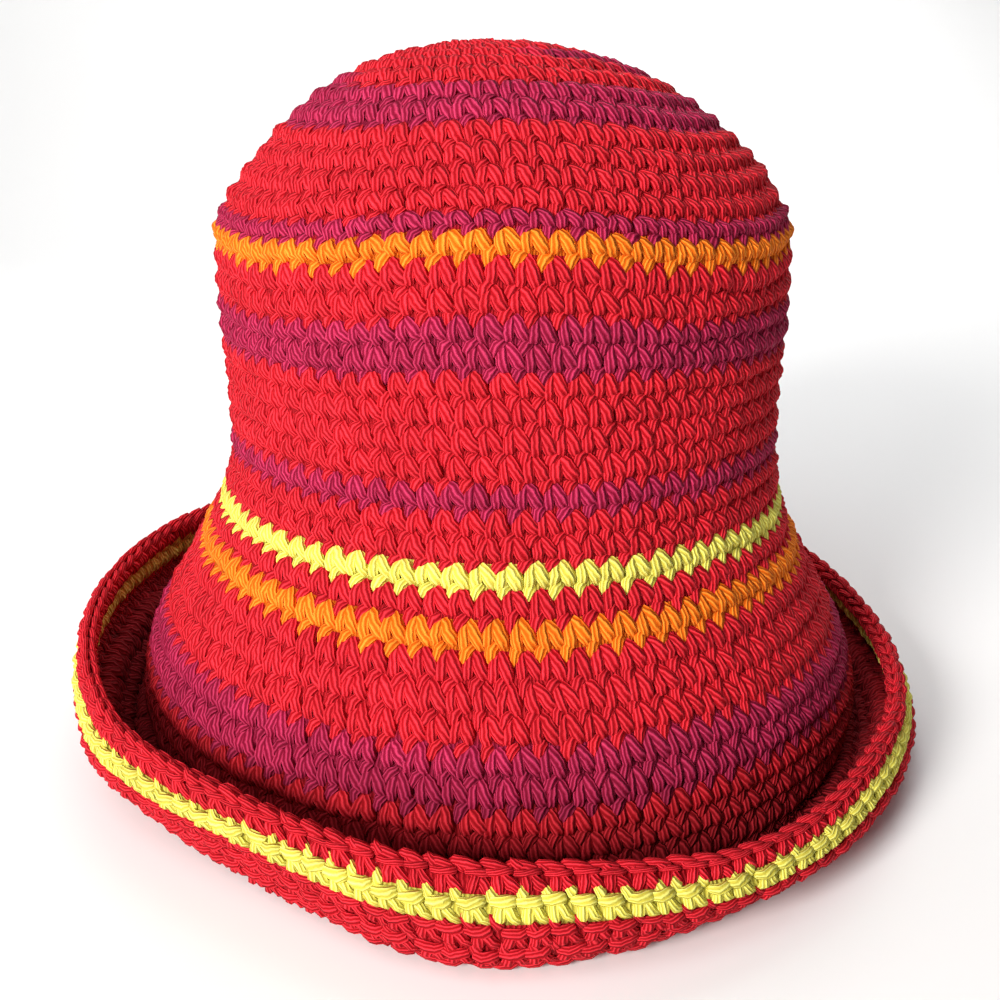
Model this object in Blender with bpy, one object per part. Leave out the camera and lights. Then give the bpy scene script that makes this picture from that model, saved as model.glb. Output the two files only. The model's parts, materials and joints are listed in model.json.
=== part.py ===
"""A crochet hat with a round crown and a rolled brim, modelled as rounds of thick fabric.

Lengths are in metres, Z is up, the front faces -Y and the hat stands on its brim at Z = 0.
Rounds are counted down from the upper orange round, which is round 0.
"""
import math

import bmesh
import bpy
import numpy as np

# Driving sizes
CROWN_HALF_WIDTH = 0.088    # middle of the fabric at the upper orange round
CROWN_HEIGHT = 0.219        # floor to the middle of the fabric at the top
BRIM_HALF_WIDTH = 0.141     # middle of the fabric at the widest part of the rolled brim
BRIM_HEIGHT = 0.040         # height of the rolled brim
FABRIC = 0.0056             # thickness of the crochet fabric over its ribs
RIB_DEPTH = 0.0013          # how far the groove between two rounds goes in
GAP = 0.00036               # space between neighbouring pieces
LEAN = math.radians(4.0)    # the crown leans back over the brim
FLOOR_SINK = 0.0008         # how far the soft brim is pressed flat where it rests
SEGMENTS = 40               # divisions round the hat
BRIM_START = 15.5           # round from which the front corners are the brim's, further forward

# Crown and wall. Reaches are shares of CROWN_HALF_WIDTH, rises are shares of CROWN_HEIGHT,
# droop (how far the two front corners hang) is a share of CROWN_HEIGHT.
CROWN_COLUMNS = ("at_round", "side_reach", "front_reach", "back_reach",
                 "right_rise", "left_rise", "front_rise", "back_rise", "droop", "aside")
CROWN_ROWS = (
    (-14.8, 0.000, 0.000, 0.000, 1.000, 1.000, 1.000, 1.000, 0.000, -0.025),
    (-13.0, 0.150, 0.153, 0.153, 0.996, 0.996, 0.996, 0.996, 0.000, -0.020),
    (-11.0, 0.312, 0.318, 0.318, 0.986, 0.986, 0.986, 0.986, 0.000, -0.008),
    (-9.0, 0.488, 0.483, 0.483, 0.963, 0.963, 0.966, 0.963, 0.000, 0.010),
    (-7.0, 0.652, 0.642, 0.636, 0.927, 0.927, 0.929, 0.927, 0.005, 0.019),
    (-5.0, 0.793, 0.784, 0.773, 0.879, 0.879, 0.881, 0.879, 0.014, 0.020),
    (-3.0, 0.906, 0.909, 0.898, 0.826, 0.826, 0.831, 0.826, 0.023, 0.014),
    (-1.5, 0.972, 0.989, 0.977, 0.783, 0.783, 0.795, 0.785, 0.036, 0.010),
    (0.0, 1.008, 1.028, 1.011, 0.744, 0.749, 0.763, 0.753, 0.041, 0.010),
    (1.5, 1.011, 1.034, 1.023, 0.696, 0.701, 0.712, 0.703, 0.036, 0.011),
    (3.5, 1.011, 1.028, 1.023, 0.635, 0.637, 0.644, 0.639, 0.018, 0.014),
    (6.0, 1.000, 1.023, 1.011, 0.553, 0.555, 0.559, 0.555, 0.005, 0.014),
    (9.0, 0.997, 1.034, 1.023, 0.452, 0.454, 0.454, 0.454, 0.000, 0.014),
    (12.0, 1.040, 1.068, 1.057, 0.356, 0.368, 0.356, 0.361, 0.000, 0.007),
    (14.0, 1.108, 1.148, 1.125, 0.297, 0.315, 0.290, 0.301, 0.000, 0.000),
)

# Flare and rolled brim. Reaches are shares of BRIM_HALF_WIDTH, rises are shares of BRIM_HEIGHT.
# The two front corners are raised or lowered and drawn in by the last four columns.
BRIM_COLUMNS = ("at_round", "side_reach", "front_reach", "back_reach",
                "right_rise", "left_rise", "front_rise", "back_rise", "lean_share", "aside",
                "left_corner_rise", "right_corner_rise", "left_corner_reach", "right_corner_reach")
BRIM_ROWS = (
    (17.0, 0.780, 0.798, 0.780, 1.050, 1.175, 1.038, 1.150, 1.0, 0.000, 0.000, 0.000, 0.000, 0.000),
    (18.5, 0.823, 0.826, 0.816, 0.788, 0.925, 0.763, 0.925, 0.9, 0.000, 0.000, 0.000, 0.000, 0.000),
    (20.0, 0.844, 0.848, 0.844, 0.550, 0.700, 0.538, 0.675, 0.6, 0.000, 0.000, 0.000, 0.000, 0.000),
    (21.5, 0.852, 0.862, 0.858, 0.338, 0.500, 0.388, 0.375, 0.1, 0.000, 0.025, 0.000, 0.000, 0.000),
    (23.0, 0.832, 0.895, 0.897, 0.113, 0.288, 0.138, 0.113, 0.0, -0.007, 0.025, 0.000, -0.018, 0.010),
    (24.5, 0.890, 0.981, 0.975, 0.073, 0.250, 0.070, 0.075, 0.0, -0.007, 0.050, 0.038, -0.030, 0.006),
    (26.0, 0.943, 1.051, 1.022, 0.205, 0.500, 0.245, 0.288, 0.0, -0.007, 0.095, 0.070, -0.062, 0.000),
    (27.0, 0.993, 1.065, 1.041, 0.275, 0.630, 0.438, 0.466, 0.0, -0.007, 0.085, -0.012, -0.070, 0.006),
    (28.0, 0.984, 1.070, 1.053, 0.430, 0.800, 0.625, 0.648, 0.0, -0.011, 0.050, -0.085, -0.050, 0.014),
    (29.3, 0.964, 1.024, 1.051, 0.610, 1.052, 0.797, 0.889, 0.0, -0.014, 0.080, -0.125, -0.031, 0.016),
)

# Each piece: name, first and last round, rows of vertices on the wrong side, ribs on both sides
PIECES = (
    ("crown", -14, -1, 8, False),
    ("upper_orange_round", 0, 0, 2, False),
    ("side", 1, 11, 6, False),
    ("yellow_round", 12, 12, 2, False),
    ("red_round", 13, 13, 2, False),
    ("lower_orange_round", 14, 14, 2, False),
    ("lower_side", 15, 19, 4, False),
    ("brim", 20, 24, 11, False),
    ("turned_up_brim", 25, 27, 7, True),
    ("rim_yellow_round", 28, 28, 3, True),
    ("rim_edge", 29, 29, 3, True),
)

YARN_COLOURS = {
    "crown": (0.62, 0.02, 0.035),
    "upper_orange_round": (0.95, 0.26, 0.01),
    "side": (0.62, 0.02, 0.035),
    "yellow_round": (0.85, 0.80, 0.13),
    "red_round": (0.62, 0.02, 0.035),
    "lower_orange_round": (0.95, 0.26, 0.01),
    "lower_side": (0.42, 0.03, 0.09),
    "brim": (0.62, 0.02, 0.035),
    "turned_up_brim": (0.62, 0.02, 0.035),
    "rim_yellow_round": (0.85, 0.80, 0.13),
    "rim_edge": (0.62, 0.02, 0.035),
}


def metre_table():
    """Join the two tables into one, in metres, with the same columns for every row."""
    rows = []
    for row in CROWN_ROWS:
        r = dict(zip(CROWN_COLUMNS, row))
        w, h = CROWN_HALF_WIDTH, CROWN_HEIGHT
        rows.append((r["at_round"], w * r["side_reach"], w * r["front_reach"], w * r["back_reach"],
                     h * r["right_rise"], h * r["left_rise"], h * r["front_rise"], h * r["back_rise"],
                     1.0, w * r["aside"], -h * r["droop"], -h * r["droop"], 0.0, 0.0))
    for row in BRIM_ROWS:
        r = dict(zip(BRIM_COLUMNS, row))
        w, h = BRIM_HALF_WIDTH, BRIM_HEIGHT
        rows.append((r["at_round"], w * r["side_reach"], w * r["front_reach"], w * r["back_reach"],
                     h * r["right_rise"], h * r["left_rise"], h * r["front_rise"], h * r["back_rise"],
                     r["lean_share"], w * r["aside"],
                     h * r["left_corner_rise"], h * r["right_corner_rise"],
                     w * r["left_corner_reach"], w * r["right_corner_reach"]))
    return np.array(rows)


def smooth_slopes(x, y):
    """Slopes of a cubic through the rows that never overshoots them."""
    step = np.diff(x)
    rise = np.diff(y) / step
    slope = np.zeros_like(y)
    before, after = rise[:-1], rise[1:]
    same_way = before * after > 0
    first = 2 * step[1:] + step[:-1]
    second = step[1:] + 2 * step[:-1]
    safe_before = np.where(same_way, before, 1.0)
    safe_after = np.where(same_way, after, 1.0)
    mean = (first + second) / (first / safe_before + second / safe_after)
    slope[1:-1] = np.where(same_way, mean, 0.0)
    slope[0] = rise[0]
    slope[-1] = rise[-1]
    return slope


def at_round(table, slopes, at):
    """Every column of the table at one place down the hat."""
    x = table[:, 0]
    k = int(np.clip(np.searchsorted(x, at) - 1, 0, len(x) - 2))
    step = x[k + 1] - x[k]
    t = (at - x[k]) / step
    low, high = table[k, 1:], table[k + 1, 1:]
    return ((1 + 2 * t) * (1 - t) ** 2 * low + t * (1 - t) ** 2 * step * slopes[k]
            + t * t * (3 - 2 * t) * high + t * t * (t - 1) * step * slopes[k + 1])


def fabric_ring(table, slopes, at, turn):
    """A ring of points in the middle of the fabric."""
    (side, front, back, right_up, left_up, front_up, back_up, lean_share, aside,
     left_corner_up, right_corner_up, left_corner, right_corner) = at_round(table, slopes, at)
    c, s = np.cos(turn), np.sin(turn)
    if at < BRIM_START:
        corner = np.where(c > 0, np.sin(2 * turn) ** 2, 0.0)
    else:
        corner = np.where(c > 0.5, np.sin(3 * turn) ** 2, 0.0)
    on_left, on_right = np.where(s < 0, corner, 0.0), np.where(s > 0, corner, 0.0)
    drawn = on_left * left_corner + on_right * right_corner
    reach = (front + back) / 2 + (front - back) / 2 * c + drawn
    x = (side + drawn) * s + aside
    y = -reach * c
    side_up = (right_up + left_up) / 2 + (right_up - left_up) / 2 * s
    z = side_up + (front_up - back_up) / 2 * c + ((front_up + back_up) / 2 - side_up) * c * c
    z = z + on_left * left_corner_up + on_right * right_corner_up
    tilt = math.sin(LEAN) * lean_share
    return np.stack([x, y + z * tilt, z - y * tilt - FLOOR_SINK], axis=1)


def offset_ring(table, slopes, at, turn, offset):
    """The ring moved off the middle of the fabric, plus to the right side of the work."""
    small = 0.01
    low = max(at - small, table[0, 0])
    high = min(at + small, table[-1, 0])
    down = fabric_ring(table, slopes, high, turn) - fabric_ring(table, slopes, low, turn)
    round_way = (fabric_ring(table, slopes, at, turn + small)
                 - fabric_ring(table, slopes, at, turn - small))
    normal = np.cross(down, round_way)
    normal /= np.linalg.norm(normal, axis=1, keepdims=True)
    ring = fabric_ring(table, slopes, at, turn) + offset * normal
    ring[:, 2] = np.maximum(ring[:, 2], 0.0)
    return ring


def rib(at):
    """Zero on the middle of a round and one in the groove between two rounds."""
    return abs(2 * (at - round(at)))


def piece_rings(table, slopes, turn, first, last, wrong_rows, ribs_both_sides):
    """Rings down the right side of a piece and back up its wrong side."""
    round_height = (CROWN_HEIGHT * 0.294) / 9.0
    half_gap = GAP / 2 / round_height
    start = first - 0.5 + half_gap
    end = last + 0.5 - half_gap if last < 29 else table[-1, 0]
    half = FABRIC / 2
    rings = []
    steps = int(round(2 * (last - first + 1)))
    for i in range(steps + 1):
        at = start + (end - start) * i / steps
        depth = RIB_DEPTH * (1 if i % 2 == 0 else 0)
        rings.append(offset_ring(table, slopes, at, turn, half - depth))
    for i in range(wrong_rows):
        at = end + (start - end) * i / (wrong_rows - 1)
        depth = 0.0
        if ribs_both_sides and at > 25.4:
            depth = RIB_DEPTH * min(1.0, rib(at))
        rings.append(offset_ring(table, slopes, at, turn, -(half - depth)))
    return rings


def add_faces(mesh, rings, right_rows, closed_top):
    """Join the rings with faces; the crown gets a pole on each side instead of an edge."""
    count = len(rings[0])
    vertices = [[mesh.verts.new(point) for point in ring] for ring in rings]
    pairs = list(zip(vertices[:-1], vertices[1:]))
    if not closed_top:
        pairs.append((vertices[-1], vertices[0]))
    for k, (one, other) in enumerate(pairs):
        lower_end = k == right_rows - 1
        upper_end = k == len(pairs) - 1 and not closed_top
        for i in range(count):
            j = (i + 1) % count
            # Both ends are split the same way, so neighbouring pieces keep their gap
            if lower_end:
                mesh.faces.new((one[i], one[j], other[j]))
                mesh.faces.new((one[i], other[j], other[i]))
            elif upper_end:
                mesh.faces.new((one[i], one[j], other[i]))
                mesh.faces.new((one[j], other[j], other[i]))
            else:
                mesh.faces.new((one[i], one[j], other[j], other[i]))
    if closed_top:
        for ring in (vertices[0], vertices[-1]):
            middle = mesh.verts.new(sum((np.array(v.co) for v in ring), np.zeros(3)) / count)
            for i in range(count):
                mesh.faces.new((ring[i], ring[(i + 1) % count], middle))
    bmesh.ops.recalc_face_normals(mesh, faces=mesh.faces)


def yarn_material(name):
    material = bpy.data.materials.new(name + "_yarn")
    material.use_nodes = True
    shader = material.node_tree.nodes["Principled BSDF"]
    shader.inputs["Base Color"].default_value = (*YARN_COLOURS[name], 1.0)
    shader.inputs["Roughness"].default_value = 0.85
    return material


def make_piece(collection, table, slopes, turn, piece):
    name, first, last, wrong_rows, ribs_both_sides = piece
    closed_top = name == "crown"
    rings = piece_rings(table, slopes, turn, first, last, wrong_rows, ribs_both_sides)
    body = bmesh.new()
    add_faces(body, rings, 2 * (last - first + 1) + 1, closed_top)
    mesh = bpy.data.meshes.new(name)
    body.to_mesh(mesh)
    body.free()
    mesh.polygons.foreach_set("use_smooth", [True] * len(mesh.polygons))
    mesh.materials.append(yarn_material(name))
    piece_object = bpy.data.objects.new(name, mesh)
    collection.objects.link(piece_object)
    return piece_object


def centre_on_floor(pieces):
    """Put the middle of the hat's box over the origin."""
    corners = np.array([v.co for piece in pieces for v in piece.data.vertices])
    middle = (corners.min(axis=0) + corners.max(axis=0)) / 2
    for piece in pieces:
        for v in piece.data.vertices:
            v.co.x -= middle[0]
            v.co.y -= middle[1]
    return middle


def main():
    for old in list(bpy.data.objects):
        bpy.data.objects.remove(old, do_unlink=True)
    collection = bpy.data.collections.new("crochet_hat")
    bpy.context.scene.collection.children.link(collection)
    table = metre_table()
    slopes = np.stack([smooth_slopes(table[:, 0], table[:, i]) for i in range(1, table.shape[1])], axis=1)
    turn = np.arange(SEGMENTS) * 2 * math.pi / SEGMENTS
    pieces = [make_piece(collection, table, slopes, turn, piece) for piece in PIECES]
    centre_on_floor(pieces)


main()
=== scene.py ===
import json
import math

import bpy
import numpy as np
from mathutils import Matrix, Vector

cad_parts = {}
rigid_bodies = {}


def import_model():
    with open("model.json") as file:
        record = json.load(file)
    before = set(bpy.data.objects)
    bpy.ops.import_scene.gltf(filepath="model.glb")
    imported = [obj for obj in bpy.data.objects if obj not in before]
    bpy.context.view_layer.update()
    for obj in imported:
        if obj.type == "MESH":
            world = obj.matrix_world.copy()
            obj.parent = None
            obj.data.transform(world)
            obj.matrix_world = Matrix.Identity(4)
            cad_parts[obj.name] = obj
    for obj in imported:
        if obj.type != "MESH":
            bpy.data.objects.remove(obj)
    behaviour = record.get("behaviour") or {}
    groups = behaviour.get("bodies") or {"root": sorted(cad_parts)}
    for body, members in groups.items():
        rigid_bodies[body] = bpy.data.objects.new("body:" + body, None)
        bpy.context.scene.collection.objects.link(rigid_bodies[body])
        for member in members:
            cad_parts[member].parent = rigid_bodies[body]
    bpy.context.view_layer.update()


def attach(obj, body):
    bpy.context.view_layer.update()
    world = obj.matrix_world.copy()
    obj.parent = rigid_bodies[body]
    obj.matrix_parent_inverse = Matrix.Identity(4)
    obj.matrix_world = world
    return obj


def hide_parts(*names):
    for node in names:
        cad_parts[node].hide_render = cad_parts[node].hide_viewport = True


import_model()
scene = bpy.context.scene
print("frame loaded")

# Sizes of the hat in metres, those of the part's source
hat = {
    "crownHalfWidth": 0.088,
    "crownHeight": 0.219,
    "brimHalfWidth": 0.141,
    "brimHeight": 0.040,
    "lean": math.radians(4.0),
    "floorSink": 0.0008,
    "brimStart": 15.5,     # round from which the front corners are the brim's
    "aside": 0.00099,      # the part is centred over the floor's origin
    "backward": 0.00120,
    "stitch": 0.0071,      # width of one stitch
    "stitchesRound": 80,   # stitches in every round of the upright wall
    "increase": 6,         # stitches that each round of the dome adds
    "slant": -0.24,        # the stitches of a round sit this share of a stitch beside the last
}
# The rounds are numbered from the middle of the crown to the edge of the brim
rounds = {
    "first": -14,
    "wallEnd": 12,         # last round with the wall's number of stitches
    "turnedUp": 25,        # first round that shows its wrong side outside
    "edge": 29,
    "chain": 30,           # the chain on the edge
}

# Round, reach to the side, front and back, rise at right, left, front and back, droop of the
# front corners and how far the ring lies aside. Shares of the crown's half width and height.
# Top, right shoulder and front corners are fitted closer to the photo than in the part's source.
crownRows = (
    (-14.8, 0.000, 0.000, 0.000, 0.994, 0.994, 0.994, 0.994, 0.000, -0.025),
    (-13.0, 0.150, 0.153, 0.153, 0.990, 0.990, 0.990, 0.990, 0.000, -0.020),
    (-11.0, 0.312, 0.318, 0.318, 0.975, 0.981, 0.982, 0.982, 0.000, -0.008),
    (-9.0, 0.488, 0.483, 0.483, 0.950, 0.960, 0.963, 0.962, 0.000, 0.010),
    (-7.0, 0.652, 0.642, 0.636, 0.912, 0.927, 0.929, 0.927, 0.003, 0.019),
    (-5.0, 0.793, 0.784, 0.773, 0.868, 0.879, 0.881, 0.879, 0.008, 0.020),
    (-3.0, 0.906, 0.909, 0.898, 0.826, 0.826, 0.831, 0.826, 0.013, 0.014),
    (-1.5, 0.972, 0.989, 0.977, 0.785, 0.785, 0.795, 0.785, 0.017, 0.010),
    (0.0, 1.008, 1.028, 1.011, 0.752, 0.753, 0.763, 0.753, 0.019, 0.010),
    (1.5, 1.011, 1.034, 1.023, 0.700, 0.703, 0.712, 0.703, 0.020, 0.011),
    (3.5, 1.011, 1.028, 1.023, 0.636, 0.638, 0.644, 0.639, 0.012, 0.014),
    (6.0, 1.000, 1.023, 1.011, 0.553, 0.555, 0.559, 0.555, 0.005, 0.014),
    (9.0, 0.997, 1.034, 1.023, 0.452, 0.454, 0.454, 0.454, 0.000, 0.014),
    (12.0, 1.040, 1.068, 1.057, 0.356, 0.368, 0.356, 0.361, 0.000, 0.007),
    (14.0, 1.108, 1.148, 1.125, 0.297, 0.315, 0.290, 0.301, 0.000, 0.000),
)
# The same for the brim, in shares of its half width and height, then the share of the lean,
# the sideways shift, and the left and right corner's rise and reach
brimRows = (
    (17.0, 0.780, 0.798, 0.780, 1.050, 1.175, 1.038, 1.150,
     1.0, 0.000, 0.000, 0.000, 0.000, 0.000),
    (18.5, 0.823, 0.826, 0.816, 0.788, 0.925, 0.763, 0.925,
     0.9, 0.000, 0.000, 0.000, 0.000, 0.000),
    (20.0, 0.844, 0.848, 0.844, 0.550, 0.700, 0.538, 0.675,
     0.6, 0.000, 0.000, 0.000, 0.000, 0.000),
    (21.5, 0.852, 0.862, 0.858, 0.338, 0.500, 0.388, 0.375,
     0.1, 0.000, 0.025, 0.000, 0.000, 0.000),
    (23.0, 0.832, 0.895, 0.897, 0.113, 0.288, 0.138, 0.113,
     0.0, -0.007, 0.025, 0.000, -0.018, 0.010),
    (24.5, 0.890, 0.981, 0.975, 0.073, 0.250, 0.070, 0.075,
     0.0, -0.007, 0.050, 0.038, -0.030, 0.006),
    (26.0, 0.943, 1.051, 1.022, 0.205, 0.500, 0.245, 0.288,
     0.0, -0.007, 0.095, 0.070, -0.062, 0.000),
    (27.0, 0.993, 1.065, 1.041, 0.275, 0.630, 0.438, 0.466,
     0.0, -0.007, 0.085, -0.012, -0.070, 0.006),
    (28.0, 0.984, 1.070, 1.053, 0.430, 0.800, 0.625, 0.648,
     0.0, -0.011, 0.050, -0.085, -0.050, 0.014),
    (29.3, 0.964, 1.024, 1.051, 0.610, 1.052, 0.797, 0.889,
     0.0, -0.014, 0.080, -0.125, -0.031, 0.016),
)


def metreRows():
    rows = []
    w, h = hat["crownHalfWidth"], hat["crownHeight"]
    for at, side, front, back, right, left, fore, aft, droop, aside in crownRows:
        rows.append((at, w * side, w * front, w * back, h * right, h * left, h * fore, h * aft,
                     1.0, w * aside, -h * droop, -h * droop, 0.0, 0.0))
    w, h = hat["brimHalfWidth"], hat["brimHeight"]
    for (at, side, front, back, right, left, fore, aft, lean, aside,
         leftUp, rightUp, leftIn, rightIn) in brimRows:
        rows.append((at, w * side, w * front, w * back, h * right, h * left, h * fore, h * aft,
                     lean, w * aside, h * leftUp, h * rightUp, w * leftIn, w * rightIn))
    return np.array(rows)


def smoothSlopes(x, y):
    step = np.diff(x)
    rise = np.diff(y) / step
    slope = np.zeros_like(y)
    before, after = rise[:-1], rise[1:]
    sameWay = before * after > 0
    first, second = 2 * step[1:] + step[:-1], step[1:] + 2 * step[:-1]
    safeBefore, safeAfter = np.where(sameWay, before, 1.0), np.where(sameWay, after, 1.0)
    mean = (first + second) / (first / safeBefore + second / safeAfter)
    slope[1:-1] = np.where(sameWay, mean, 0.0)
    slope[0], slope[-1] = rise[0], rise[-1]
    return slope


shapeRows = metreRows()
shapeSlopes = np.stack([smoothSlopes(shapeRows[:, 0], column) for column in shapeRows.T[1:]],
                       axis=1)


def columnsAt(at):
    x = shapeRows[:, 0]
    k = int(np.clip(np.searchsorted(x, at) - 1, 0, len(x) - 2))
    step = x[k + 1] - x[k]
    t = (at - x[k]) / step
    low, high = shapeRows[k, 1:], shapeRows[k + 1, 1:]
    return ((1 + 2 * t) * (1 - t) ** 2 * low + t * (1 - t) ** 2 * step * shapeSlopes[k]
            + t * t * (3 - 2 * t) * high + t * t * (t - 1) * step * shapeSlopes[k + 1])


# Points of the fabric's middle at one round, for turns from the front to the right
def ringAt(at, turn):
    lastRound = shapeRows[-1, 0]
    if at > lastRound:  # past the edge the fabric goes straight on
        step = 0.1
        edge, inner = ringAt(lastRound, turn), ringAt(lastRound - step, turn)
        return edge + (edge - inner) * (at - lastRound) / step
    (side, front, back, rightUp, leftUp, frontUp, backUp, lean, aside,
     leftCornerUp, rightCornerUp, leftCorner, rightCorner) = columnsAt(at)
    c, s = np.cos(turn), np.sin(turn)
    # The front corners lie within 90 degrees of the front on the crown, within 60 on the brim
    if at < hat["brimStart"]:
        corner = np.where(c > 0, np.sin(2 * turn) ** 2, 0.0)
    else:
        corner = np.where(c > 0.5, np.sin(3 * turn) ** 2, 0.0)
    onLeft, onRight = np.where(s < 0, corner, 0.0), np.where(s > 0, corner, 0.0)
    drawn = onLeft * leftCorner + onRight * rightCorner
    reach = (front + back) / 2 + (front - back) / 2 * c + drawn
    x = (side + drawn) * s + aside
    y = -reach * c
    sideUp = (rightUp + leftUp) / 2 + (rightUp - leftUp) / 2 * s
    z = sideUp + (frontUp - backUp) / 2 * c + ((frontUp + backUp) / 2 - sideUp) * c * c
    z = z + onLeft * leftCornerUp + onRight * rightCornerUp
    tilt = math.sin(hat["lean"]) * lean
    return np.stack([x + hat["aside"], y + z * tilt + hat["backward"],
                     z - y * tilt - hat["floorSink"]], axis=1)


# The flat swatch: across is the turn round the hat and up is minus the round, both in
# millimetre-like units, and the third way is the height over the middle of the fabric in mm.
# It is wrapped on a surface with the same rounds and turns.
flat = {
    "across": 88.0,       # units per radian
    "down": 7.6,          # units per round
    "pitch": 7.3,         # template units per stitch, both ways
    "rope": 0.15,         # how far the middle of a round stands out, as a share
    "overlap": 0.3,       # radians that the fabric runs on past the back seam
    "firstRound": -14.78,
    "lastRound": 30.6,
    "surfaceRows": 228,
    "surfaceColumns": 177,
}


def fabricSurface():
    ats = np.linspace(flat["firstRound"], flat["lastRound"], flat["surfaceRows"])
    halfTurn = math.pi + flat["overlap"]
    turns = np.linspace(-halfTurn, halfTurn, flat["surfaceColumns"])
    grid = np.stack([ringAt(at, turns) for at in ats])
    down = np.gradient(grid, axis=0)
    across = np.gradient(grid, axis=1)
    outWay = np.cross(down, across)
    outWay /= np.linalg.norm(outWay, axis=2, keepdims=True)
    rows, columns = grid.shape[:2]
    number = np.arange(rows * columns).reshape(rows, columns)
    quads = np.stack([number[:-1, :-1], number[1:, :-1], number[1:, 1:], number[:-1, 1:]], axis=2)
    mesh = bpy.data.meshes.new("fabricSurface")
    mesh.from_pydata(grid.reshape(-1, 3).tolist(), [], quads.reshape(-1, 4).tolist())
    attribute = mesh.attributes.new("outWay", "FLOAT_VECTOR", "POINT")
    attribute.data.foreach_set("vector", outWay.reshape(-1).astype(np.float32))
    layer = mesh.uv_layers.new(name="flatPlace")
    u = np.linspace(0.0, 1.0, columns)[None, :] * np.ones((rows, 1))
    v = np.linspace(0.0, 1.0, rows)[:, None] * np.ones((1, columns))
    place = np.stack([u, v], axis=2).reshape(-1, 2)
    corners = np.zeros(len(mesh.loops), dtype=np.int32)
    mesh.loops.foreach_get("vertex_index", corners)
    layer.data.foreach_set("uv", place[corners].reshape(-1).astype(np.float32))
    made = bpy.data.objects.new("fabricSurface", mesh)
    scene.collection.objects.link(made)
    return made


# Strands of one stitch: across and down in stitches, out in mm, half width and half thickness
# in mm. The first and last rows are the strand's points.
strands = {
    "leftLeg": (
        (0.04, -0.12, -0.8, 0, 0), (-0.05, 0.06, 0.4, 1.80, 1.2), (-0.15, 0.33, 1.4, 2.00, 1.4),
        (-0.19, 0.62, 1.7, 2.00, 1.45), (-0.18, 0.88, 1.1, 1.85, 1.3), (-0.17, 1.06, 0.0, 0, 0)),
    "rightLeg": (
        (-0.06, -0.13, -0.8, 0, 0), (0.03, 0.03, 0.3, 1.65, 1.2), (0.15, 0.22, 1.3, 2.05, 1.4),
        (0.28, 0.44, 1.8, 2.20, 1.45), (0.39, 0.65, 1.7, 2.10, 1.4), (0.48, 0.85, 0.9, 1.75, 1.2),
        (0.54, 1.00, 0.0, 0, 0)),
    "hook": (
        (0.98, -0.26, -0.2, 0, 0), (0.84, -0.11, 1.0, 1.55, 1.25), (0.67, 0.05, 1.5, 2.00, 1.4),
        (0.55, 0.24, 1.3, 1.75, 1.25), (0.51, 0.44, 0.6, 1.10, 0.9), (0.54, 0.62, -0.6, 0, 0)),
    "bar": (
        (-0.54, 0.82, -0.8, 0, 0), (-0.40, 0.79, -1.6, 1.20, 1.1), (-0.12, 0.76, -2.1, 1.35, 1.2),
        (0.18, 0.77, -2.1, 1.35, 1.2), (0.42, 0.83, -1.7, 1.25, 1.1), (0.56, 0.88, -0.8, 0, 0)),
    "leftPost": (
        (0.00, 0.82, -0.9, 0, 0), (-0.03, 0.60, -1.5, 1.60, 1.2), (-0.08, 0.34, -1.7, 1.70, 1.25),
        (-0.13, 0.08, -1.1, 1.5, 1.05), (-0.16, -0.12, 0.0, 0, 0)),
    "rightPost": (
        (0.08, 0.78, -0.8, 0, 0), (0.21, 0.56, -1.2, 1.60, 1.15), (0.36, 0.31, -1.5, 1.75, 1.2),
        (0.53, 0.07, -1.0, 1.5, 1.0), (0.64, -0.10, 0.0, 0, 0)),
    "tip": (
        (0.88, 0.72, -0.9, 0, 0), (0.74, 0.92, -1.8, 1.90, 0.9), (0.62, 1.14, -1.7, 1.35, 0.8),
        (0.50, 1.38, -0.9, 0, 0)),
    "edgeOutside": (
        (-0.72, 0.20, -0.1, 0, 0), (-0.42, 0.22, -1.0, 1.25, 1.1), (-0.02, 0.15, -1.6, 1.55, 1.25),
        (0.38, 0.05, -1.6, 1.45, 1.2), (0.68, -0.05, -0.8, 0, 0)),
    "edgeInside": (
        (-0.66, 0.22, -0.2, 0, 0), (-0.36, 0.22, 0.8, 1.25, 1.1), (0.02, 0.14, 1.4, 1.45, 1.2),
        (0.38, 0.04, 1.4, 1.35, 1.15), (0.66, -0.06, 0.5, 0, 0)),
    "insideBar": (
        (-0.51, 0.80, -0.9, 0, 0), (-0.25, 0.77, -1.8, 1.4, 1.25), (0.25, 0.79, -1.8, 1.4, 1.25),
        (0.54, 0.84, -0.8, 0, 0)),
    "insideLeft": (
        (0.03, 0.80, -0.8, 0, 0), (0.03, 0.50, -1.3, 1.5, 1.15), (0.01, 0.14, -1.2, 1.45, 1.1),
        (0.00, -0.10, 0.0, 0, 0)),
    "insideRight": (
        (0.05, 0.74, -0.6, 0, 0), (0.24, 0.46, -1.1, 1.35, 1.05), (0.50, 0.14, -1.0, 1.25, 1.0),
        (0.66, -0.07, 0.0, 0, 0)),
}
# Templates in the order of their numbers: name, strands, sides of each strand and variants
templates = (
    ("rightSide", ("leftLeg", "rightLeg"), 6, 3),
    ("hook", ("hook",), 6, 2),
    ("wrongSide", ("bar", "leftPost", "rightPost", "tip"), 6, 3),
    ("inside", ("insideBar", "insideLeft", "insideRight"), 5, 2),
    ("edge", ("edgeOutside", "edgeInside"), 6, 2),
)
# How far the templates and the stitches differ from one another
unevenness = {
    "path": 0.2,          # mm that the points of a strand's path stray
    "thickness": 0.06,    # share of a strand's width and thickness
    "turn": 0.13,         # radians that a stitch turns in the fabric
    "size": 0.08,         # share of a stitch's size
    "wander": 1.2,        # mm that neighbouring stitches wander together
    "wanderScale": 0.045,
    "wanderShares": (1.6, 2.4, 0.8),    # across, down and out
}
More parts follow.
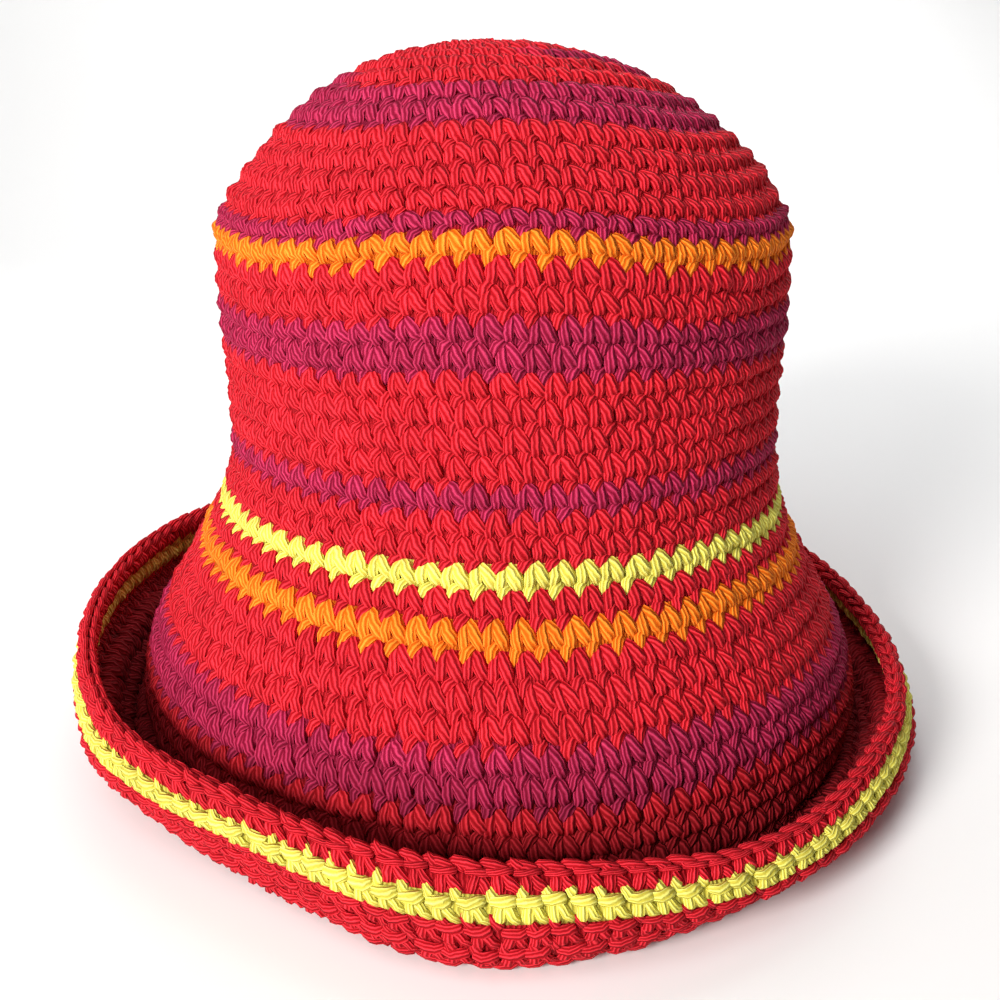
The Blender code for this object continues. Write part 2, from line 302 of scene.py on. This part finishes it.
# Seeds of the random draws: for the templates and the first piece, and what is added to a
# piece's number for the turn and the size of its stitches
seeds = {"templates": 5, "firstPiece": 100, "turn": 11.0, "size": 23.0}


def strandMesh(rows, sides, parts, rng):
    verts, faces, uvs = parts
    stray = unevenness["path"]
    path = [Vector((row[0] * flat["pitch"], -row[1] * flat["pitch"], row[2])) for row in rows]
    path = [p + Vector(rng.uniform(-stray, stray, 3)) for p in path]
    along = [0.0]
    for one, other in zip(path[:-1], path[1:]):
        along.append(along[-1] + (other - one).length)
    rings = []
    for k in range(1, len(path) - 1):
        way = (path[k + 1] - path[k - 1]).normalized()
        side = Vector((-way.y, way.x, 0.0)).normalized()
        up = way.cross(side)
        grow = 1 + rng.uniform(-unevenness["thickness"], unevenness["thickness"])
        ring = []
        for i in range(sides):
            turn = 2 * math.pi * i / sides
            point = (path[k] + side * math.cos(turn) * rows[k][3] * grow
                     + up * math.sin(turn) * rows[k][4])
            ring.append(len(verts))
            verts.append(point)
        rings.append(ring)
    first, last = len(verts), len(verts) + 1
    verts.extend((path[0], path[-1]))
    for k in range(len(rings) + 1):
        for i in range(sides):
            j = (i + 1) % sides
            low, high = i / sides, (i + 1) / sides
            if k == 0:
                faces.append((first, rings[0][j], rings[0][i]))
                uvs.extend(((along[0], (low + high) / 2), (along[1], high), (along[1], low)))
            elif k == len(rings):
                faces.append((rings[-1][i], rings[-1][j], last))
                uvs.extend(((along[k], low), (along[k], high), (along[k + 1], (low + high) / 2)))
            else:
                faces.append((rings[k - 1][i], rings[k - 1][j], rings[k][j], rings[k][i]))
                uvs.extend(((along[k], low), (along[k], high),
                            (along[k + 1], high), (along[k + 1], low)))


def stitchTemplates():
    collection = bpy.data.collections.new("stitchShapes")
    numbers = {}
    rng = np.random.default_rng(seeds["templates"])
    total = 0
    for name, names, sides, variants in templates:
        numbers[name] = list(range(total, total + variants))
        for _ in range(variants):
            parts = ([], [], [])
            for strand in names:
                strandMesh(strands[strand], sides, parts, rng)
            mesh = bpy.data.meshes.new(name)
            mesh.from_pydata(parts[0], [], parts[1])
            layer = mesh.uv_layers.new(name="UVMap")
            layer.data.foreach_set("uv", np.array(parts[2], dtype=np.float32).reshape(-1))
            template = bpy.data.objects.new("stitch%02d" % total, mesh)
            collection.objects.link(template)
            total += 1
    return collection, numbers


surface = fabricSurface()
stitchShapes, shapeNumbers = stitchTemplates()
print("fabric surface and stitch shapes ready")

# Round, and from where to where round the hat it is mauve, in radians from the front to the right
mauveLengths = [(-10, 0.1, 2.6), (-9, 0.7, 3.2), (-8, -2.6, -0.9)]
mauveLengths += [(k, -3.2, 3.2) for k in (-7, -6, -1, 3, 4, 9, 18, 19)]
mauveChange = 0.25    # radians over which the yarn changes
# Painted shade in the open fold of the brim, by round: how far the yarn's colour is darkened
paintedFoldShade = {19: 0.15, 20: 0.45, 21: 0.7, 22: 0.85, 23: 0.9, 24: 0.9, 25: 0.9, 26: 0.8, 27: 0.6}


def mauveShare(k, turn):
    share = np.zeros_like(turn)
    for at, start, end in mauveLengths:
        if at == k:
            into = np.clip((turn - start) / mauveChange, 0, 1)
            outOf = np.clip((end - turn) / mauveChange, 0, 1)
            share = np.maximum(share, into * outOf)
    return share


def stitchCount(k):
    if k < 0:
        return min(hat["stitchesRound"], hat["increase"] * (k - rounds["first"] + 1))
    if k <= rounds["wallEnd"]:
        return hat["stitchesRound"]
    side, front, back = columnsAt(min(k, rounds["edge"]))[:3]
    return int(round(math.pi * (side + (front + back) / 2) / hat["stitch"]))


counts = {k: stitchCount(k) for k in range(rounds["first"], rounds["chain"] + 1)}
starts = {rounds["first"]: 0.0}
for k in range(rounds["first"] + 1, rounds["chain"] + 1):
    starts[k] = starts[k - 1] + hat["slant"] * 2 * math.pi / counts[k]
# Top and height, in rounds, of the rounds that aren't set as the others are
roundTops = {
    rounds["first"]: (-14.6, 1.1),
    rounds["edge"]: (28.5, 0.82),
    rounds["chain"]: (29.22, 1.0),
}


# Points of one round: place in the swatch, size, template number, share of mauve, how far each
# may sway and how much painted shade of the brim's fold it gets
def roundPoints(k, kind, rng, colourRound=None):
    count = counts[k]
    turn = starts[k] + 2 * math.pi * (np.arange(count) + 0.5) / count
    turn = (turn + math.pi) % (2 * math.pi) - math.pi
    top, tall = roundTops.get(k, (k - 0.5, 1.0))
    place = np.stack([turn * flat["across"], np.full(count, -top * flat["down"]),
                      np.zeros(count)], axis=1)
    size = np.stack([np.full(count, 2 * math.pi / count * flat["across"] / flat["pitch"]),
                     np.full(count, tall * flat["down"] / flat["pitch"]), np.ones(count)], axis=1)
    mauve = mauveShare(colourRound if colourRound is not None else k, turn)
    # Painted shade of the brim's fold, on the stitches whose right side faces into it
    shade = paintedFoldShade.get(k, 0.0) if kind in ("rightSide", "hook") else 0.0
    sway = min(1.0, (count / hat["stitchesRound"]) ** 2)
    number = rng.choice(shapeNumbers[kind], count)
    return place, size, number, mauve, np.full(count, sway), np.full(count, shade)


def pointMesh(name, groups):
    place, size, number, mauve, sway, shade = (np.concatenate(column) for column in zip(*groups))
    mesh = bpy.data.meshes.new(name)
    mesh.from_pydata(place.tolist(), [], [])
    sizes = mesh.attributes.new("size", "FLOAT_VECTOR", "POINT")
    sizes.data.foreach_set("vector", size.reshape(-1))
    shapes = mesh.attributes.new("shape", "INT", "POINT")
    shapes.data.foreach_set("value", number.astype(np.int32))
    for label, values in (("mauve", mauve), ("sway", sway), ("paintedShadeInFold", shade)):
        mesh.attributes.new(label, "FLOAT", "POINT").data.foreach_set("value", values)
    return mesh


liningSizes = {
    "height": 0.0013,     # over and under the middle of the fabric, in metres
    "lowest": 0.0003,     # it stays this far over the floor
    "end": 29.25,         # the last round that it reaches
    "columns": 84,
    "step": 0.02,         # rounds and radians over which the fabric's slope is read
}


# A thin layer in the middle of the fabric closes the gaps between the strands; the yarn's
# material darkens it as painted shade in the gaps
def liningMesh(name, first, last):
    columns, step = liningSizes["columns"], liningSizes["step"]
    start = max(first - 0.5, flat["firstRound"] + step)
    end = min(last + 0.5, liningSizes["end"])
    ats = np.linspace(start, end, 2 * (last - first + 1) + 1)
    turns = -math.pi + 2 * math.pi * np.arange(columns) / columns
    points, mauves, shades = [], [], []
    for side in (1, -1):
        for at in ats[::side]:
            low, high = max(at - step, flat["firstRound"]), at + step
            down = ringAt(high, turns) - ringAt(low, turns)
            across = ringAt(at, turns + step) - ringAt(at, turns - step)
            outWay = np.cross(down, across)
            outWay /= np.linalg.norm(outWay, axis=1, keepdims=True)
            ring = ringAt(at, turns) + outWay * side * liningSizes["height"]
            ring[:, 2] = np.maximum(ring[:, 2], liningSizes["lowest"])
            nearest = int(round(at))
            points.append(ring)
            mauves.append(mauveShare(nearest, turns))
            # The lining's outer side gets the same painted shade of the fold
            shades.append(np.full(columns, paintedFoldShade.get(nearest, 0.0) if side > 0 else 0.0))
    number = np.arange(len(points) * columns).reshape(-1, columns)
    below = np.roll(number, -1, axis=0)
    if first == rounds["first"]:  # in the middle of the crown it stays open
        number, below = number[:-1], below[:-1]
    quads = np.stack([number, below, np.roll(below, -1, axis=1), np.roll(number, -1, axis=1)],
                     axis=2)
    mesh = bpy.data.meshes.new(name)
    mesh.from_pydata(np.concatenate(points).tolist(), [], quads.reshape(-1, 4).tolist())
    mesh.uv_layers.new(name="UVMap")
    mauve, shade = np.concatenate(mauves), np.concatenate(shades)
    for label, values in (("mauve", mauve), ("paintedShadeInFold", shade), ("lining", np.ones(len(mauve)))):
        attribute = mesh.attributes.new(label, "FLOAT", "POINT")
        attribute.data.foreach_set("value", values.astype(np.float32))
    return mesh


# Geometry nodes: set the stitches on the swatch, sway them, wrap the swatch on the fabric
def crochetTree():
    tree = bpy.data.node_groups.new("crochetRounds", "GeometryNodeTree")
    sockets = (
        ("Geometry", "Geometry", None), ("Stitch shapes", "Collection", None),
        ("Fabric", "Object", None), ("Lining", "Object", None), ("Yarn", "Material", None),
        ("Turn unevenness", "Float", unevenness["turn"]),
        ("Size unevenness", "Float", unevenness["size"]),
        ("Wander in mm", "Float", unevenness["wander"]), ("Seed", "Int", 1),
    )
    for name, kind, value in sockets:
        socket = tree.interface.new_socket(name, in_out="INPUT", socket_type="NodeSocket" + kind)
        if value is not None:
            socket.default_value = value
    tree.interface.new_socket("Geometry", in_out="OUTPUT", socket_type="NodeSocketGeometry")

    def node(kind, values=None, **settings):
        made = tree.nodes.new(kind)
        for key, value in settings.items():
            setattr(made, key, value)
        for key, value in (values or {}).items():
            if isinstance(value, bpy.types.NodeSocket):
                tree.links.new(value, made.inputs[key])
            else:
                made.inputs[key].default_value = value
        return made

    def calc(operation, *values):
        return node("ShaderNodeMath", dict(enumerate(values)), operation=operation).outputs[0]

    def calcVector(operation, a, b):
        return node("ShaderNodeVectorMath", {0: a, 1: b}, operation=operation).outputs[0]

    def scaled(vector, factor):
        return node("ShaderNodeVectorMath", {0: vector, 3: factor}, operation="SCALE").outputs[0]

    def stored(name, kind):
        made = node("GeometryNodeInputNamedAttribute", {"Name": name}, data_type=kind)
        return made.outputs["Attribute"]

    def drawn(values, kind="FLOAT"):
        return node("FunctionNodeRandomValue", values, data_type=kind).outputs["Value"]

    given = node("NodeGroupInput").outputs
    sway = stored("sway", "FLOAT")

    # Each stitch gets a shade, a turn and a size of its own
    shaded = node("GeometryNodeStoreNamedAttribute", {
        "Geometry": given["Geometry"], "Name": "tone", "Value": drawn({"Seed": given["Seed"]})},
        data_type="FLOAT", domain="POINT")
    turnSeed = calc("ADD", given["Seed"], seeds["turn"])
    sizeSeed = calc("ADD", given["Seed"], seeds["size"])
    turn = drawn({"Min": -1.0, "Max": 1.0, "Seed": turnSeed})
    turnBy = calc("MULTIPLY", calc("MULTIPLY", turn, given["Turn unevenness"]), sway)
    rotation = node("ShaderNodeCombineXYZ", {"Z": turnBy}).outputs[0]
    grow = drawn({"Min": (-1.0, -1.0, -1.0), "Max": (1.0, 1.0, 1.0), "Seed": sizeSeed},
                 "FLOAT_VECTOR")
    growBy = calcVector("ADD", scaled(grow, given["Size unevenness"]), (1.0, 1.0, 1.0))
    size = calcVector("MULTIPLY", stored("size", "FLOAT_VECTOR"), growBy)
    shapes = node("GeometryNodeCollectionInfo", {
        "Collection": given["Stitch shapes"], "Separate Children": True, "Reset Children": True})
    placed = node("GeometryNodeInstanceOnPoints", {
        "Points": shaded.outputs["Geometry"], "Instance": shapes.outputs[0],
        "Pick Instance": True, "Instance Index": stored("shape", "INT"),
        "Rotation": rotation, "Scale": size})
    real = node("GeometryNodeRealizeInstances", {"Geometry": placed.outputs[0]}).outputs[0]

    # Neighbouring stitches wander together, as hand work does
    here = node("GeometryNodeInputPosition").outputs[0]
    noise = node("ShaderNodeTexNoise", {
        "Vector": here, "Scale": unevenness["wanderScale"], "Detail": 2.0})
    drift = calcVector("SUBTRACT", noise.outputs["Color"], (0.5, 0.5, 0.5))
    drift = calcVector("MULTIPLY", drift, unevenness["wanderShares"])
    drift = scaled(drift, calc("MULTIPLY", given["Wander in mm"], sway))
    wandered = node("GeometryNodeSetPosition", {"Geometry": real, "Offset": drift}).outputs[0]

    # From the swatch to the fabric
    split = node("ShaderNodeSeparateXYZ", {0: here}).outputs
    wholeTurn = 2 * math.pi + 2 * flat["overlap"]
    span = flat["lastRound"] - flat["firstRound"]
    margin = 0.0002
    u = calc("MULTIPLY_ADD", split["X"], 1 / (flat["across"] * wholeTurn), 0.5)
    v = calc("MULTIPLY_ADD", split["Y"], -1 / (flat["down"] * span), -flat["firstRound"] / span)
    v = calc("MINIMUM", calc("MAXIMUM", v, margin), 1 - margin)
    place = node("ShaderNodeCombineXYZ", {"X": u, "Y": v}).outputs[0]
    fabric = node("GeometryNodeObjectInfo", {"Object": given["Fabric"]}).outputs["Geometry"]
    flatPlace = stored("flatPlace", "FLOAT_VECTOR")

    def onSurface(value):
        return node("GeometryNodeSampleUVSurface", {
            "Mesh": fabric, "Value": value, "Source UV Map": flatPlace, "Sample UV": place},
            data_type="FLOAT_VECTOR").outputs["Value"]

    # The middle of a round stands out further than the groove between two rounds
    phase = calc("MULTIPLY", split["Y"], 2 * math.pi / flat["down"])
    rope = calc("MULTIPLY_ADD", calc("COSINE", phase), flat["rope"], 1.0)
    metresOut = calc("MULTIPLY", calc("MULTIPLY", split["Z"], rope), 0.001)
    lift = scaled(onSurface(stored("outWay", "FLOAT_VECTOR")), metresOut)
    low = node("ShaderNodeSeparateXYZ", {0: calcVector("ADD", onSurface(here), lift)}).outputs
    pressed = node("ShaderNodeCombineXYZ", {
        "X": low["X"], "Y": low["Y"], "Z": calc("MAXIMUM", low["Z"], 0.0)}).outputs[0]
    wrapped = node("GeometryNodeSetPosition", {"Geometry": wandered, "Position": pressed})

    lining = node("GeometryNodeObjectInfo", {"Object": given["Lining"]}).outputs["Geometry"]
    joined = node("GeometryNodeJoinGeometry")
    tree.links.new(wrapped.outputs[0], joined.inputs[0])
    tree.links.new(lining, joined.inputs[0])
    smooth = node("GeometryNodeSetShadeSmooth", {"Geometry": joined.outputs[0]}).outputs[0]
    painted = node("GeometryNodeSetMaterial", {"Geometry": smooth, "Material": given["Yarn"]})
    node("NodeGroupOutput", {0: painted.outputs[0]})
    return tree


# The yarn's plies and fibres, its surface and its relief
yarnLook = {
    "plies": 8.0,
    "twist": 0.13,            # plies per mm along the strand
    "groove": 1.1,            # above 1 the grooves get wider
    "looseness": 0.7,         # plies that they stray
    "loosenessScale": 420.0,
    "fibreAlong": 0.9,
    "fibreAround": 40.0,
    "roughness": 0.78,
    "specular": 0.10,
    "bump": 0.7,
    "bumpDistance": 0.0005,
}


# Plies and fibres from the strand's own map, along it in mm and once round it
def yarnGroup():
    tree = bpy.data.node_groups.new("pliedYarn", "ShaderNodeTree")
    nodes, links = tree.nodes, tree.links
    for name in ("Plies", "Twist", "Groove"):
        socket = tree.interface.new_socket(name, in_out="INPUT", socket_type="NodeSocketFloat")
        socket.default_value = yarnLook[name.lower()]
    for name in ("Ply", "Fibre"):
        tree.interface.new_socket(name, in_out="OUTPUT", socket_type="NodeSocketFloat")

    def calc(operation, *values):
        made = nodes.new("ShaderNodeMath")
        made.operation = operation
        for i, value in enumerate(values):
            if isinstance(value, bpy.types.NodeSocket):
                links.new(value, made.inputs[i])
            else:
                made.inputs[i].default_value = value
        return made.outputs[0]

    given = nodes.new("NodeGroupInput").outputs
    mapped = nodes.new("ShaderNodeUVMap")
    mapped.uv_map = "UVMap"
    split = nodes.new("ShaderNodeSeparateXYZ")
    links.new(mapped.outputs[0], split.inputs[0])
    along, around = split.outputs[0], split.outputs[1]
    noise = nodes.new("ShaderNodeTexNoise")
    noise.inputs["Scale"].default_value = yarnLook["loosenessScale"]
    place = nodes.new("ShaderNodeTexCoord")
    links.new(place.outputs["Object"], noise.inputs["Vector"])
    looseness = yarnLook["looseness"]
    loose = calc("MULTIPLY_ADD", noise.outputs[0], looseness, -looseness / 2)
    twisted = calc("MULTIPLY_ADD", along, given["Twist"], loose)
    phase = calc("MULTIPLY_ADD", around, given["Plies"], twisted)
    wave = calc("SINE", calc("MULTIPLY", phase, math.pi))
    ply = calc("POWER", calc("MULTIPLY", wave, wave), given["Groove"])
    fibreMap = nodes.new("ShaderNodeCombineXYZ")
    links.new(calc("MULTIPLY", along, yarnLook["fibreAlong"]), fibreMap.inputs[0])
    links.new(calc("MULTIPLY", around, yarnLook["fibreAround"]), fibreMap.inputs[1])
    fibre = nodes.new("ShaderNodeTexNoise")
    fibre.inputs["Scale"].default_value = 1.0
    fibre.inputs["Detail"].default_value = 3.0
    links.new(fibreMap.outputs[0], fibre.inputs["Vector"])
    out = nodes.new("NodeGroupOutput")
    links.new(ply, out.inputs[0])
    links.new(fibre.outputs[0], out.inputs[1])
    return tree


# Each yarn's colour on the ridges of its plies, its own colour with a painted highlight, and in
# the grooves between them, painted shade; then the same for its mauve length
yarnColours = {
    "red": ((0.82, 0.033, 0.051), (0.42, 0.001, 0.006), (0.54, 0.034, 0.105), (0.25, 0.002, 0.026)),
    "orange": ((1.0, 0.29, 0.030), (0.86, 0.13, 0.001)) * 2,
    "yellow": ((0.90, 0.86, 0.20), (0.78, 0.66, 0.07)) * 2,
}
# How far the ridge colour shows, by fibre, and from the strands to the lining, which takes more
# of the grooves' painted shade
yarnHeights = {"fibre": (0.65, 1.35), "lining": (1.0, 0.5)}
# Light factors: painted shade and highlight from the bottom of a groove to the top of a ply, the
# random tone from the darkest to the palest stitch, painted shade from the strands to the lining,
# and painted shade from the open fabric to the brim's fold
toneAndPaintedShade = {
    "ply": (0.80, 1.05),
    "tone": (0.84, 1.08),
    "lining": (1.0, 0.8),
    "paintedShadeInFold": (1.0, 0.25),
}


def yarnMaterial(name, plied):
    ridge, groove, mauveRidge, mauveGroove = yarnColours[name]
    material = bpy.data.materials.new("yarn_" + name)
    material.use_nodes = True
    nodes, links = material.node_tree.nodes, material.node_tree.links
    shader = nodes["Principled BSDF"]
    shader.inputs["Roughness"].default_value = yarnLook["roughness"]
    shader.inputs["Specular IOR Level"].default_value = yarnLook["specular"]
    yarn = nodes.new("ShaderNodeGroup")
    yarn.node_tree = plied
    ply, fibre = yarn.outputs["Ply"], yarn.outputs["Fibre"]

    def attribute(label):
        made = nodes.new("ShaderNodeAttribute")
        made.attribute_name = label
        return made.outputs["Fac"]

    def mix(kind, factor, a, b):
        made = nodes.new("ShaderNodeMix")
        made.data_type = "RGBA"
        made.blend_type = kind
        for key, value in (("Factor_Float", factor), ("A_Color", a), ("B_Color", b)):
            socket = next(s for s in made.inputs if s.identifier == key)
            if isinstance(value, bpy.types.NodeSocket):
                links.new(value, socket)
            else:
                socket.default_value = value if key == "Factor_Float" else (*value, 1.0)
        return next(s for s in made.outputs if s.identifier == "Result_Color")

    def between(value, low, high):
        made = nodes.new("ShaderNodeMapRange")
        links.new(value, made.inputs["Value"])
        made.inputs["To Min"].default_value = low
        made.inputs["To Max"].default_value = high
        return made.outputs[0]

    def product(values):
        result = values[0]
        for value in values[1:]:
            times = nodes.new("ShaderNodeMath")
            times.operation = "MULTIPLY"
            links.new(result, times.inputs[0])
            links.new(value, times.inputs[1])
            result = times.outputs[0]
        return result

    mauve, lining = attribute("mauve"), attribute("lining")
    onRidge = mix("MIX", mauve, ridge, mauveRidge)
    inGroove = mix("MIX", mauve, groove, mauveGroove)
    # Ridge colour with its painted highlight, groove colour as painted shade; the lining takes more
    # of the shade
    height = product([ply, between(fibre, *yarnHeights["fibre"]),
                      between(lining, *yarnHeights["lining"])])
    colour = mix("MIX", height, inGroove, onRidge)
    # Painted shade in the ply grooves, on the lining and in the brim's fold, times each stitch's
    # own tone
    light = product([between(ply, *toneAndPaintedShade["ply"]),
                     between(attribute("tone"), *toneAndPaintedShade["tone"]),
                     between(lining, *toneAndPaintedShade["lining"]),
                     between(attribute("paintedShadeInFold"), *toneAndPaintedShade["paintedShadeInFold"])])
    grey = nodes.new("ShaderNodeCombineColor")
    for i in range(3):
        links.new(light, grey.inputs[i])
    links.new(mix("MULTIPLY", 1.0, colour, grey.outputs[0]), shader.inputs["Base Color"])
    bump = nodes.new("ShaderNodeBump")
    bump.inputs["Strength"].default_value = yarnLook["bump"]
    bump.inputs["Distance"].default_value = yarnLook["bumpDistance"]
    links.new(ply, bump.inputs["Height"])
    links.new(bump.outputs[0], shader.inputs["Normal"])
    return material


crochet = crochetTree()
plied = yarnGroup()
yarns = {name: yarnMaterial(name, plied) for name in yarnColours}
print("node trees and yarns ready")


def socketKey(name):
    return next(item.identifier for item in crochet.interface.items_tree
                if item.name == name and item.in_out == "INPUT")


def removeObject(old):
    data = old.data
    bpy.data.objects.remove(old, do_unlink=True)
    bpy.data.meshes.remove(data)


def makePiece(name, node, groups, first, last, yarn, seed):
    work = bpy.data.objects.new(name + "Points", pointMesh(name + "Points", groups))
    scene.collection.objects.link(work)
    lining = bpy.data.objects.new(name + "Lining", liningMesh(name + "Lining", first, last))
    scene.collection.objects.link(lining)
    modifier = work.modifiers.new("crochet", "NODES")
    modifier.node_group = crochet
    for label, value in (("Stitch shapes", stitchShapes), ("Fabric", surface), ("Lining", lining),
                         ("Yarn", yarns[yarn]), ("Seed", seed)):
        modifier[socketKey(label)] = value
    bpy.context.view_layer.update()
    ready = work.evaluated_get(bpy.context.evaluated_depsgraph_get())
    mesh = bpy.data.meshes.new_from_object(ready)
    mesh.name = name
    piece = bpy.data.objects.new(name, mesh)
    scene.collection.objects.link(piece)
    removeObject(work)
    removeObject(lining)
    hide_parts(node)
    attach(piece, "root")
    faces = sum(len(p.vertices) - 2 for p in mesh.polygons)
    print(name, "has", faces, "triangles")


# Node, first and last round, yarn
bands = (
    ("crown", -14, -1, "red"),
    ("upper_orange_round", 0, 0, "orange"),
    ("side", 1, 11, "red"),
    ("yellow_round", 12, 12, "yellow"),
    ("red_round", 13, 13, "red"),
    ("lower_orange_round", 14, 14, "orange"),
    ("lower_side", 15, 19, "red"),
    ("brim", 20, 24, "red"),
    ("turned_up_brim", 25, 27, "red"),
    ("rim_yellow_round", 28, 28, "yellow"),
    ("rim_edge", 29, 29, "red"),
)
for number, (node, first, last, yarn) in enumerate(bands):
    rng = np.random.default_rng(seeds["firstPiece"] + number)
    groups, wrongGroups = [], []
    for k in range(first, last + 1):
        groups.append(roundPoints(k, "rightSide", rng))
        if k < rounds["edge"]:
            groups.append(roundPoints(k + 1, "hook", rng, colourRound=k))
        else:
            groups.append(roundPoints(rounds["chain"], "edge", rng))
        wrongKind = "wrongSide" if k >= rounds["turnedUp"] else "inside"
        wrongGroups.append(roundPoints(k, wrongKind, rng))
    makePiece(node + "_stitches", node, groups + wrongGroups, first, last, yarn, number)
for old in [surface, *stitchShapes.objects]:
    removeObject(old)
bpy.data.collections.remove(stitchShapes)
print("crochet ready")


def simpleMaterial(name, colour, roughness):
    material = bpy.data.materials.new(name)
    material.use_nodes = True
    shader = material.node_tree.nodes["Principled BSDF"]
    shader.inputs["Base Color"].default_value = (*colour, 1.0)
    shader.inputs["Roughness"].default_value = roughness
    shader.inputs["Specular IOR Level"].default_value = 0.2
    return material


# A pale sweep: floor, curve and wall
sweep = {
    "halfWidth": 5.0,
    "front": -3.0,
    "curveStart": 0.9,
    "curveRadius": 0.8,
    "curveSteps": 12,
    "wallTop": 4.0,
}
radius = sweep["curveRadius"]
profile = [(sweep["front"], 0.0), (sweep["curveStart"], 0.0)]
for step in range(1, sweep["curveSteps"] + 1):
    turn = math.pi / 2 * step / sweep["curveSteps"]
    profile.append((sweep["curveStart"] + radius * math.sin(turn),
                    radius - radius * math.cos(turn)))
profile.append((sweep["curveStart"] + radius, sweep["wallTop"]))
sweepPoints = [(x, y, z) for y, z in profile for x in (-sweep["halfWidth"], sweep["halfWidth"])]
sweepFaces = [(2 * k, 2 * k + 1, 2 * k + 3, 2 * k + 2) for k in range(len(profile) - 1)]
floorMesh = bpy.data.meshes.new("floor")
floorMesh.from_pydata(sweepPoints, [], sweepFaces)
floorMesh.shade_smooth()
floor = bpy.data.objects.new("floor", floorMesh)
floorMesh.materials.append(simpleMaterial("floorWhite", (0.9, 0.9, 0.9), 0.9))
scene.collection.objects.link(floor)

world = bpy.data.worlds.new("studio")
world.use_nodes = True
world.node_tree.nodes["Background"].inputs["Color"].default_value = (1.0, 1.0, 1.0, 1.0)
world.node_tree.nodes["Background"].inputs["Strength"].default_value = 0.15
scene.world = world

# Name, place, target, size in metres, power in watts and colour
lights = (
    ("keyLight", (-0.75, -1.10, 0.62), (0, 0, 0.1), 0.45, 26.5, (1.0, 0.98, 0.95)),
    ("topLight", (-0.3, -0.7, 1.3), (0, 0, 0.1), 0.8, 5.0, (0.97, 0.98, 1.0)),
    ("backLight", (0.5, 1.25, 0.9), (0, 0, 0.1), 0.7, 3.0, (1.0, 1.0, 1.0)),
    ("wallLight", (0.0, 0.45, 1.3), (0, 1.7, 0.5), 1.2, 14.0, (1.0, 1.0, 1.0)),
)
for name, place, target, size, power, colour in lights:
    light = bpy.data.lights.new(name, "AREA")
    light.shape = "DISK"
    light.size = size
    light.energy = power
    light.color = colour
    lamp = bpy.data.objects.new(name, light)
    scene.collection.objects.link(lamp)
    lamp.location = place
    lamp.rotation_euler = (Vector(target) - Vector(place)).to_track_quat("-Z", "Y").to_euler()

camera = bpy.data.objects.new("camera", bpy.data.cameras.new("camera"))
scene.collection.objects.link(camera)
camera.location = (hat["aside"], -0.3843, 0.2201)
camera.rotation_euler = (math.radians(69.0), 0.0, 0.0)
camera.data.lens = 43.2
camera.data.sensor_width = 36.0
scene.camera = camera
scene.view_settings.view_transform = "Standard"
print("light and camera ready")
